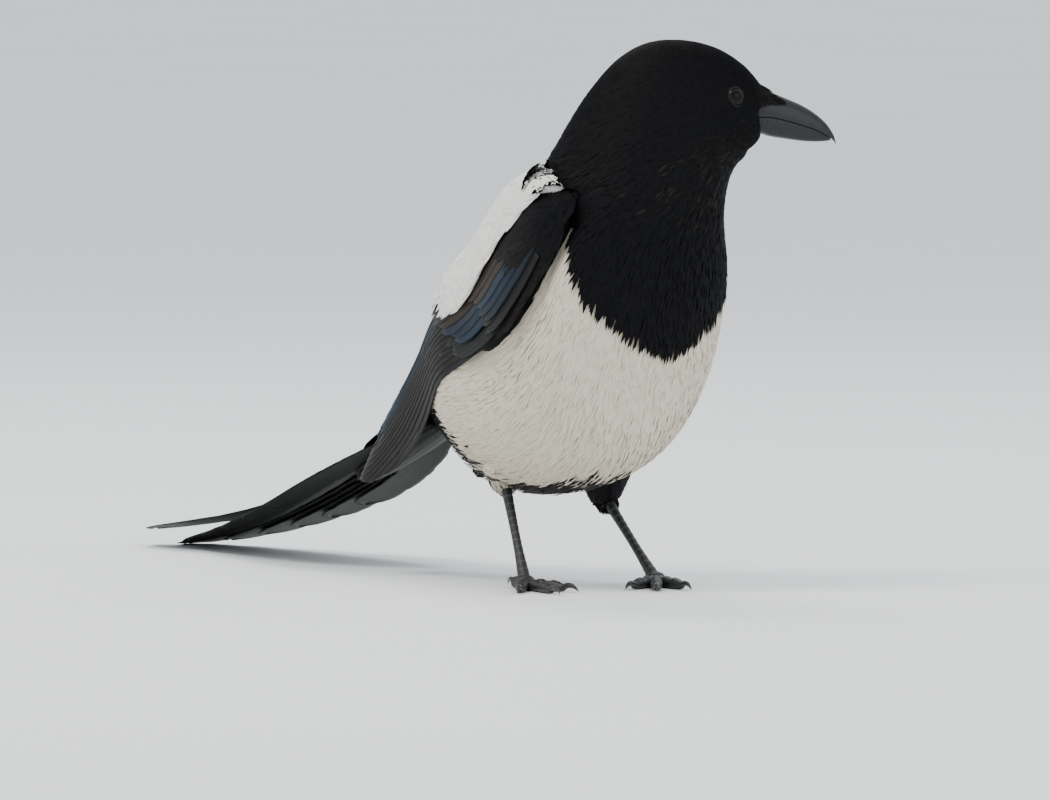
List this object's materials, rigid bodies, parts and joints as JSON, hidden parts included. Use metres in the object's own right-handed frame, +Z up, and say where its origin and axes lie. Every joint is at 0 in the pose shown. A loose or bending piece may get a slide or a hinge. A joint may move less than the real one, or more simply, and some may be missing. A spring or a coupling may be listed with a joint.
{
  "type": "eurasian magpie",
  "caption": "Life-size Eurasian magpie standing alert on both feet, head turned to its left, long graduated tail laid back to the floor.",
  "frame": {"origin": "middle of the bird's box, on the floor", "axes": "+Z up, -Y the way the body faces, +X the bird's left"},
  "size_m": [0.1292, 0.3878, 0.2194],
  "materials": {
    "black_feathers": "matt to silky black contour feathers",
    "white_feathers": "matt soft white contour feathers",
    "glossy_flight_feathers": "dark feathers with a blue-green gloss",
    "glossy_tail_feathers": "dark feathers with a green and purple gloss above, dull below",
    "bill": "smooth black horn",
    "claw": "smooth black horn",
    "eye": "wet dark brown",
    "leg_skin": "scaly dark grey skin"
  },
  "bodies": {
    "root": {"breast": "black_feathers", "claw_left_1": "claw", "claw_left_2": "claw", "claw_left_3": "claw", "claw_left_4": "claw", "claw_right_1": "claw", "claw_right_2": "claw", "claw_right_3": "claw", "claw_right_4": "claw", "eye_left": "eye", "eye_right": "eye", "foot_left": "leg_skin", "foot_right": "leg_skin", "head": "black_feathers", "lower_bill": "bill", "mantle": "black_feathers", "neck": "black_feathers", "rump": "white_feathers", "scapulars_left": "white_feathers", "scapulars_right": "white_feathers", "tail": "glossy_tail_feathers", "tarsus_left": "leg_skin", "tarsus_right": "leg_skin", "thigh_left": "black_feathers", "thigh_right": "white_feathers", "torso": "white_feathers", "upper_bill": "bill", "wing_left": "glossy_flight_feathers", "wing_right": "glossy_flight_feathers"}
  },
  "joints": []
}
